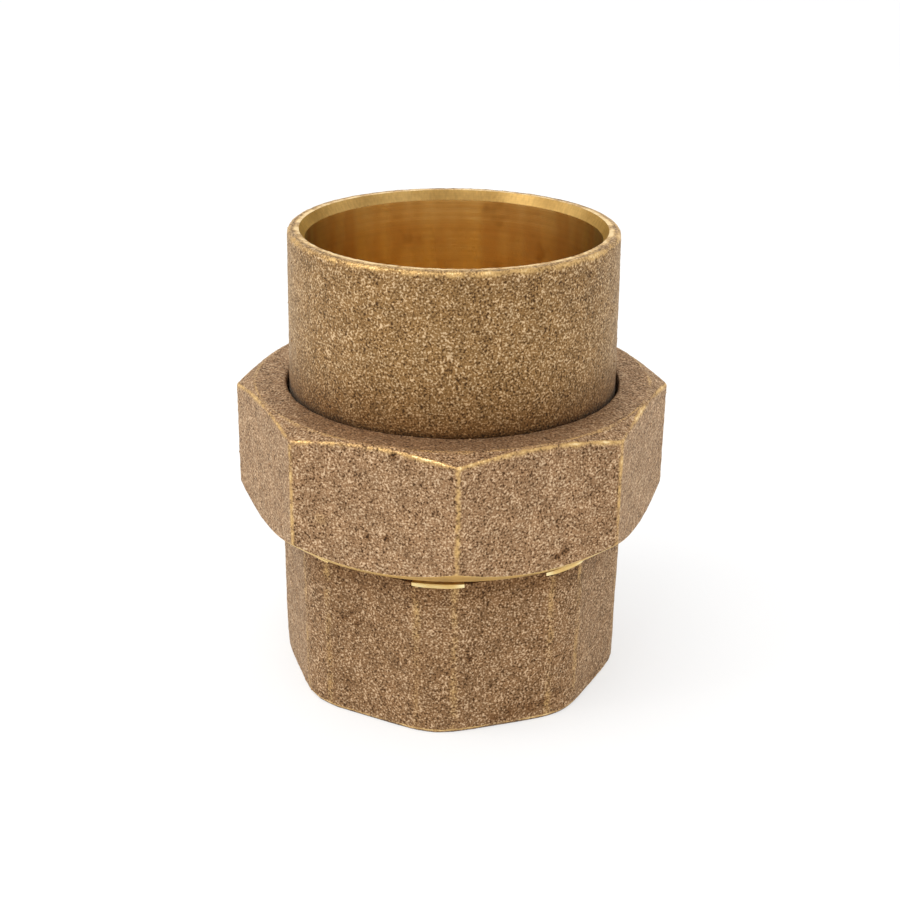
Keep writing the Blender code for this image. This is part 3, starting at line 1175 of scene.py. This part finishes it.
@dataclass
class ThreadedEnd:
    """The lower casting: octagonal body with corner lands, ledge, neck, thread, seat and cup."""

    sizes: UnionSizes
    seed: int = 31
    land_columns: int = 16
    flat_columns: int = 44
    turned_by: float = math.radians(-94.6)
    apothem: float = 31.45 * MM
    land: float = 32.79 * MM
    draft: float = math.radians(0.45)
    edge_blend: float = 0.18 * MM
    foot_blend: float = 0.45 * MM
    foot_blend_reach: float = 1.5 * MM
    foot_top: float = 5.0 * MM
    foot_wear: float = 0.72
    ledge: float = 30.74 * MM
    ledge_edge: float = 0.06 * MM
    skim_slope: float = 1.6
    skim_width: float = -0.15 * MM
    skim_shift: float = 0.57 * MM
    skim_towards: float = math.radians(-77.4)
    skim_edge: float = 0.02 * MM
    least_skim: float = 0.05 * MM
    bright_skim: float = 0.06 * MM
    neck: float = 30.90 * MM
    neck_round: float = 0.15 * MM
    thread_bottom: float = 32.508 * MM
    thread_edge: float = 0.25 * MM
    rim_round: float = 0.35 * MM
    undercut: float = 0.50 * MM
    undercut_height: float = 0.75 * MM
    # How far below the ledge the painted shade under the nut reaches.
    shade_reach: float = 6.0 * MM
    wear_reach: float = 0.20 * MM
    edge_wear: float = 0.37
    edge_reach: float = 1.10 * MM
    blemishes: tuple[Blemish, ...] = (
        Blemish(-127.0, 20.0, 0.55, 0.15, shade_and_grime=1.5),
        Blemish(-124.8, 21.4, 0.50, 0.15, shade_and_grime=1.3),
        Blemish(-122.4, 19.6, 0.60, 0.15, shade_and_grime=1.5),
        Blemish(-83.3, 15.4, 0.45, 0.20, shade_and_grime=2.5),
        Blemish(-59.1, 17.1, 0.40, 0.15, shade_and_grime=1.8),
        Blemish(-74.3, 1.9, 1.00, shade_and_grime=1.5),
        Blemish(-68.8, 2.6, 1.20, shade_and_grime=1.5),
        Blemish(-61.8, 3.1, 1.40, shade_and_grime=1.3),
        Blemish(-56.5, 3.6, 0.90, shade_and_grime=1.7),
        Blemish(-52.0, 4.4, 1.00, shade_and_grime=1.3),
    )
    cast: CastBronze = CastBronze(
        "cast_bronze_body", skin=(0.278, 0.151, 0.066), grain=(0.71, 0.50, 0.31)
    )
    turned: TurnedBronze = TurnedBronze("turned_bronze_body")
    mouth: TurnedBronze = shaded_mouth("turned_mouth_body")
    fresh: TurnedBronze = fresh_cut("fresh_ledge_body", (1.0, 0.84, 0.46))

    def land_edge(self) -> float:
        """Work out half the angle that a corner land spans."""
        return HALF_SECTOR - math.acos(self.apothem / self.land)

    def body_radius(self, angles: np.ndarray, height: Length) -> np.ndarray:
        """Measure the body at one height, flats and lands blended at their edges.

        Args:
            angles: the columns' angles.
            height: the height.

        Returns:
            The distance from the axis at each angle.
        """
        drawn_in = (self.ledge - height) * math.tan(self.draft)
        flat = (self.apothem - drawn_in) / np.cos(HALF_SECTOR - from_corner(angles, self.turned_by))
        land = np.full_like(flat, self.land - drawn_in)
        blend = self.edge_blend + self.foot_blend * np.exp(-np.asarray(height) / self.foot_blend_reach)
        return -blend * np.logaddexp(-flat / blend, -land / blend)

    def bends(self, angles: np.ndarray) -> list[Bend]:
        """Set out the upright outline, from the bottom rim up the body and down through the cup.

        Args:
            angles: the columns' angles.

        Returns:
            The outline's corners.
        """
        size = self.sizes
        root = size.thread_root
        cut = self.skim_width + self.skim_shift * np.cos(angles - self.skim_towards)
        cut = np.maximum(cut, self.least_skim)
        skim = self.ledge - self.skim_slope * cut
        unshaded = self.ledge - self.shade_reach
        top = self.body_radius(angles, self.ledge)
        skimmed = np.minimum(top, self.land - cut)
        lands = (skimmed < top) & (cut > self.bright_skim)
        foot = self.body_radius(angles, self.undercut_height)
        body = self.body_radius(angles, self.foot_top)
        ledge = self.body_radius(angles, skim)
        return [
            # Painted shade: the foot's undercut is darkened as a contact shadow, and the body darkens
            # upwards towards the ledge and the neck under the nut.
            Bend(foot - self.undercut, 0.0, CRISP, 2, Surface.CAST, shade_and_grime=3.0),
            Bend(foot, self.undercut_height, self.rim_round, 11, Surface.CAST, self.foot_wear),
            Bend(body, self.foot_top, CRISP, 44, Surface.CAST),
            Bend(self.body_radius(angles, unshaded), unshaded, CRISP, 16, Surface.CAST),
            Bend(ledge, skim, self.skim_edge, 2, Surface.FRESH, shade_and_grime=1.0, only=lands),
            Bend(skimmed, self.ledge, self.ledge_edge, 3, Surface.FRESH, shade_and_grime=1.0, only=lands),
            Bend(self.neck, self.ledge, self.neck_round, 3, Surface.CAST, shade_and_grime=1.6),
            Bend(self.neck, self.thread_bottom, CRISP, 2, Surface.TURNED),
            Bend(root, self.thread_bottom, EASED, 6, Surface.TURNED),
            Bend(root, size.end_top, self.thread_edge, 2, Surface.TURNED),
            Bend(size.seat_mouth, size.end_top, BROKEN, 6, Surface.TURNED),
            Bend(size.waterway, size.seat_bottom, BROKEN, 6, Surface.TURNED),
            Bend(size.waterway, size.cup_depth, BROKEN, 2, Surface.TURNED),
            Bend(size.cup_bore, size.cup_depth, BROKEN, 8, Surface.TURNED),
            Bend(size.cup_bore, size.mouth_depth, size.mouth_edge, 4, Surface.MOUTH),
            Bend(size.cup_bore + size.mouth_width, 0.0, size.mouth_edge, 3, Surface.MOUTH),
        ]

    def build(self) -> list[Object]:
        """Make and dress the casting, its nubs and its thread.

        Returns:
            The pieces.
        """
        edge = self.land_edge()
        angles = octagon_columns(self.turned_by, edge, self.land_columns, self.flat_columns)
        from_edge = np.abs(from_corner(angles, self.turned_by) - edge) * self.land
        wear = self.edge_wear * bell(from_edge / self.edge_reach)
        skin = CastSkin(angles, self.bends(angles), wear, self.blemishes, self.seed, self.wear_reach)
        finishes = {
            Surface.CAST: self.cast,
            Surface.TURNED: self.turned,
            Surface.MOUTH: self.mouth,
            Surface.FRESH: self.fresh,
        }
        piece, nubs, thread = make_casting("threaded_end", skin, finishes, self.thread())
        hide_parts("threaded_end")
        for made in (piece, nubs, thread):
            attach(made, "threaded_end")
        return [piece, nubs, thread]

    def thread(self) -> ScrewThread:
        """Set out the external thread.

        Returns:
            The thread.
        """
        size = self.sizes
        foot = size.crest + size.flank_run
        bottom = self.thread_bottom + size.pitch / 2
        turns = (size.end_top - size.pitch / 2 - bottom) / size.pitch
        phase = TURN * (bottom - size.end_top) / size.pitch
        return ScrewThread(
            size.thread_root, size.thread_depth, foot, size.crest, size.pitch, bottom, turns, phase
        )


@dataclass(frozen=True)
class Softbox:
    """A square lamp that faces the union."""

    name: str
    place: Place
    width: float
    power: float

    def build(self, aim: Vector) -> None:
        """Hang the lamp.

        Args:
            aim: the point that it faces.
        """
        lamp = bpy.data.lights.new(self.name, "AREA")
        lamp.size = self.width
        lamp.energy = self.power
        hung = add_object(self.name, lamp)
        hung.location = self.place
        hung.rotation_euler = (aim - Vector(self.place)).to_track_quat("-Z", "Y").to_euler()


@dataclass
class Studio:
    """A white floor and a white room, with soft lamps and the camera at the photograph's angle."""

    white: Colour = (1.0, 1.0, 1.0)
    room_strength: float = 1.0
    floor_width: float = 60.0
    floor_colour: Colour = (0.98, 0.98, 0.98)
    floor_roughness: float = 0.9
    shadow_kept: float = 0.40
    softboxes: tuple[Softbox, ...] = (
        Softbox("softbox_left", (-0.85, -0.20, 0.70), 0.60, 3.2),
        Softbox("softbox_top", (-0.25, -0.35, 0.95), 0.50, 2.0),
    )
    camera_place: Place = (0.0, -277.62 * MM, 159.07 * MM)
    camera_pitch: float = math.radians(22.711)
    camera_yaw: float = math.radians(-0.0645)
    camera_roll: float = math.radians(0.605)
    camera_lens: float = 62.67
    camera_near: float = 0.01

    def build(self, middle: Vector) -> None:
        """Set up the room, the floor, the lamps and the camera.

        Args:
            middle: the point that the lamps face.
        """
        self.room()
        self.floor()
        for softbox in self.softboxes:
            softbox.build(middle)
        self.camera()

    def room(self) -> None:
        """Make the white room."""
        world = bpy.data.worlds.new("white_room")
        world.use_nodes = True
        bpy.context.scene.world = world
        background = world.node_tree.nodes["Background"]
        NodeSketch(world.node_tree).feed(background, {"Color": self.white, "Strength": self.room_strength})

    def seen_plainly(self, sketch: NodeSketch) -> NodeSocket:
        """Tell the rays that show the background from those that only light the union.

        Args:
            sketch: the tree to build in.

        Returns:
            The socket that gives 1 for a ray that shows the background.
        """
        rays = sketch.add("ShaderNodeLightPath").outputs
        shown = sketch.maths("MAXIMUM", rays["Is Camera Ray"], rays["Is Glossy Ray"])
        return sketch.maths("MAXIMUM", shown, rays["Is Transmission Ray"])

    def floor(self) -> None:
        """Make the floor, which shows white and keeps part of its shadow."""
        half = self.floor_width / 2
        mesh = bpy.data.meshes.new("floor")
        corners = [(-half, -half, 0.0), (half, -half, 0.0), (half, half, 0.0), (-half, half, 0.0)]
        mesh.from_pydata(corners, [], [(0, 1, 2, 3)])
        sketch = ShaderSketch("white_floor")
        sketch.feed(sketch.surface, {"Base Color": self.floor_colour, "Roughness": self.floor_roughness})
        share = sketch.maths("MULTIPLY", self.seen_plainly(sketch), 1.0 - self.shadow_kept)
        glow = sketch.add("ShaderNodeEmission").outputs[0]
        blend = sketch.add("ShaderNodeMixShader", {0: share, 1: sketch.surface.outputs[0], 2: glow})
        sketch.feed(sketch.tree.nodes["Material Output"], {"Surface": blend.outputs[0]})
        mesh.materials.append(sketch.material)
        floor = add_object("floor", mesh)

    def camera(self) -> None:
        """Place the camera."""
        data = bpy.data.cameras.new("camera")
        data.lens = self.camera_lens
        data.clip_start = self.camera_near
        camera = add_object("camera", data)
        place = Matrix.Translation(self.camera_place)
        turns = (("Z", -self.camera_yaw), ("X", TURN / 4 - self.camera_pitch), ("Z", self.camera_roll))
        for axis, angle in turns:
            place @= Matrix.Rotation(angle, 4, axis)
        camera.matrix_world = place
        bpy.context.scene.camera = camera


def main() -> None:
    """Build and dress the union's castings, then the studio around them."""
    logging.basicConfig(level=logging.INFO, format="%(name)s: %(message)s")
    bpy.context.scene.view_settings.view_transform = "Standard"
    sizes = UnionSizes.from_frame()
    for casting in (ThreadedEnd(sizes), CupTailpiece(sizes), UnionNut(sizes)):
        for piece in casting.build():
            LOG.info("%s: %d faces", piece.name, len(piece.data.polygons))
    Studio().build((CAD_BOX[0] + CAD_BOX[1]) / 2)


if __name__ == "__main__":
    main()
